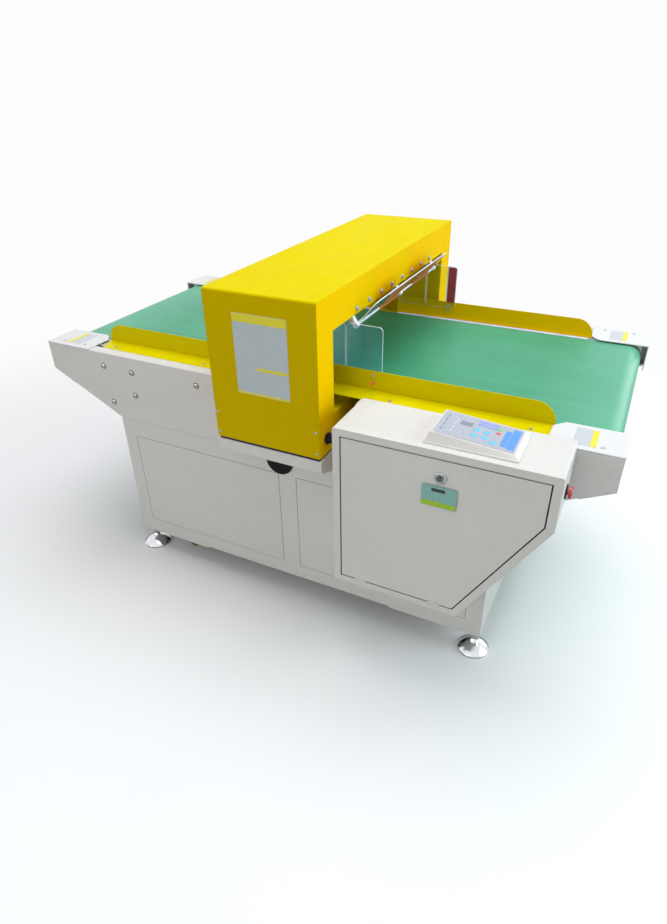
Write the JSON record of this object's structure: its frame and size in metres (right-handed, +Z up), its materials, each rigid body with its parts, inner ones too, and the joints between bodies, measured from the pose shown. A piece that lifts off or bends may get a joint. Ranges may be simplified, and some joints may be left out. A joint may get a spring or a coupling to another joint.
{
  "type": "conveyor metal detector",
  "caption": "Belt conveyor metal detector with a bridge-shaped yellow detection head, tapered side arms, an operator control box and levelling feet.",
  "frame": {"origin": "centre of the footprint, on the floor", "axes": "+X along the belt towards the control box end, -Y is the operator's side, +Z up"},
  "size_m": [1.628, 1.042, 0.959],
  "materials": {
    "frame_paint": "satin powder coat",
    "yellow_paint": "satin powder coat",
    "belt_green": "matte belt",
    "chrome": "polished",
    "zinc_steel": "zinc plated",
    "black_rubber": "matte",
    "black_plastic": "moulded",
    "white_plastic": "moulded",
    "clear_acrylic": "clear",
    "red_plastic": "moulded",
    "cast_iron": "painted black",
    "motor_alloy": "cast",
    "potted_resin": "cast resin",
    "keypad_film": "film",
    "earth_sheath": "sheath",
    "white_sheath": "sheath",
    "electronics": "mixed"
  },
  "bodies": {
    "machine": {"base_frame": "frame_paint", "belt": "belt_green", "box_shell": "frame_paint", "cable_grommet": "black_rubber", "console": "frame_paint", "control_electronics": "electronics", "conveyor_fasteners": "zinc_steel", "cover_front_a": "frame_paint", "cover_front_b": "frame_paint", "cover_rear_a": "frame_paint", "cover_rear_b": "frame_paint", "drive_chain": "zinc_steel", "earth_lead": "earth_sheath", "end_caps_a": "frame_paint", "end_caps_b": "frame_paint", "end_panels": "frame_paint", "flap_rod": "white_plastic", "foot_lock_nuts": "zinc_steel", "front_panels": "frame_paint", "gear_motor": "motor_alloy", "guide_front_a": "yellow_paint", "guide_front_b": "yellow_paint", "guide_rear_a": "yellow_paint", "guide_rear_b": "yellow_paint", "head_fasteners": "zinc_steel", "head_gland": "black_plastic", "head_lower_housing": "yellow_paint", "head_tray": "frame_paint", "head_upper_housing": "yellow_paint", "keypad": "keypad_film", "lower_coil": "potted_resin", "photo_eyes": "zinc_steel", "rear_panels": "frame_paint", "sensor_box": "black_plastic", "sensor_lead": "white_sheath", "sensor_lid": "white_plastic", "shaft_blocks": "cast_iron", "side_plates": "zinc_steel", "side_shields": "clear_acrylic", "slider_beds": "zinc_steel", "stop_collar": "black_plastic", "tray_pad": "black_rubber", "tunnel_bed": "white_plastic", "upper_coil": "potted_resin", "wiring_duct": "white_plastic"},
    "foot_front_a": {"foot_front_a": "chrome"},
    "foot_front_b": {"foot_front_b": "chrome"},
    "foot_rear_a": {"foot_rear_a": "chrome"},
    "foot_rear_b": {"foot_rear_b": "chrome"},
    "drive_roller": {"drive_roller": "zinc_steel", "roller_sprocket": "zinc_steel"},
    "tail_roller": {"tail_roller": "zinc_steel"},
    "snub_roller_a": {"snub_roller_a": "zinc_steel"},
    "snub_roller_b": {"snub_roller_b": "zinc_steel"},
    "motor_shaft": {"motor_sprocket": "zinc_steel"},
    "flap": {"tunnel_flap": "clear_acrylic"},
    "door": {"box_door": "frame_paint", "lock_barrel": "chrome"},
    "lock": {"lock_plug": "chrome"},
    "stop_button": {"stop_head": "red_plastic"}
  },
  "joints": [
    {"name": "foot_front_a_adjust", "type": "slide", "parent": "machine", "child": "foot_front_a", "axis": [0, 0, -1], "range_m": [0, 0.03]},
    {"name": "foot_front_b_adjust", "type": "slide", "parent": "machine", "child": "foot_front_b", "axis": [0, 0, -1], "range_m": [0, 0.03]},
    {"name": "foot_rear_a_adjust", "type": "slide", "parent": "machine", "child": "foot_rear_a", "axis": [0, 0, -1], "range_m": [0, 0.03]},
    {"name": "foot_rear_b_adjust", "type": "slide", "parent": "machine", "child": "foot_rear_b", "axis": [0, 0, -1], "range_m": [0, 0.03]},
    {"name": "drive_roller_spin", "type": "hinge", "parent": "machine", "child": "drive_roller", "pos_m": [-0.76, 0.042, 0.652], "axis": [0, 1, 0], "continuous": true},
    {"name": "tail_roller_spin", "type": "hinge", "parent": "machine", "child": "tail_roller", "pos_m": [0.76, 0.042, 0.652], "axis": [0, 1, 0], "continuous": true},
    {"name": "snub_roller_a_spin", "type": "hinge", "parent": "machine", "child": "snub_roller_a", "pos_m": [0.592, 0.042, 0.533], "axis": [0, 1, 0], "continuous": true},
    {"name": "snub_roller_b_spin", "type": "hinge", "parent": "machine", "child": "snub_roller_b", "pos_m": [-0.592, 0.042, 0.533], "axis": [0, 1, 0], "continuous": true},
    {"name": "motor_shaft_spin", "type": "hinge", "parent": "machine", "child": "motor_shaft", "pos_m": [-0.551, 0.042, 0.604], "axis": [0, 1, 0], "continuous": true},
    {"name": "flap_hinge", "type": "hinge", "parent": "machine", "child": "flap", "pos_m": [0.158, 0.042, 0.851], "axis": [0, 1, 0], "range_deg": [0, 135]},
    {"name": "door_hinge", "type": "hinge", "parent": "machine", "child": "door", "pos_m": [0.4, -0.516, 0.3035], "axis": [1, 0, 0], "range_deg": [0, 95]},
    {"name": "lock_turn", "type": "hinge", "parent": "door", "child": "lock", "pos_m": [0.476, -0.508, 0.654], "axis": [0, -1, 0], "range_deg": [0, 90]},
    {"name": "stop_button_press", "type": "slide", "parent": "machine", "child": "stop_button", "axis": [-1, 0, 0], "range_m": [0, 0.003]}
  ],
  "couplings": [
    {"joint": "tail_roller_spin", "follows": "drive_roller_spin", "ratio": 1},
    {"joint": "snub_roller_a_spin", "follows": "drive_roller_spin", "ratio": 1.6364},
    {"joint": "snub_roller_b_spin", "follows": "drive_roller_spin", "ratio": 1.6364},
    {"joint": "motor_shaft_spin", "follows": "drive_roller_spin", "ratio": 1.25}
  ]
}
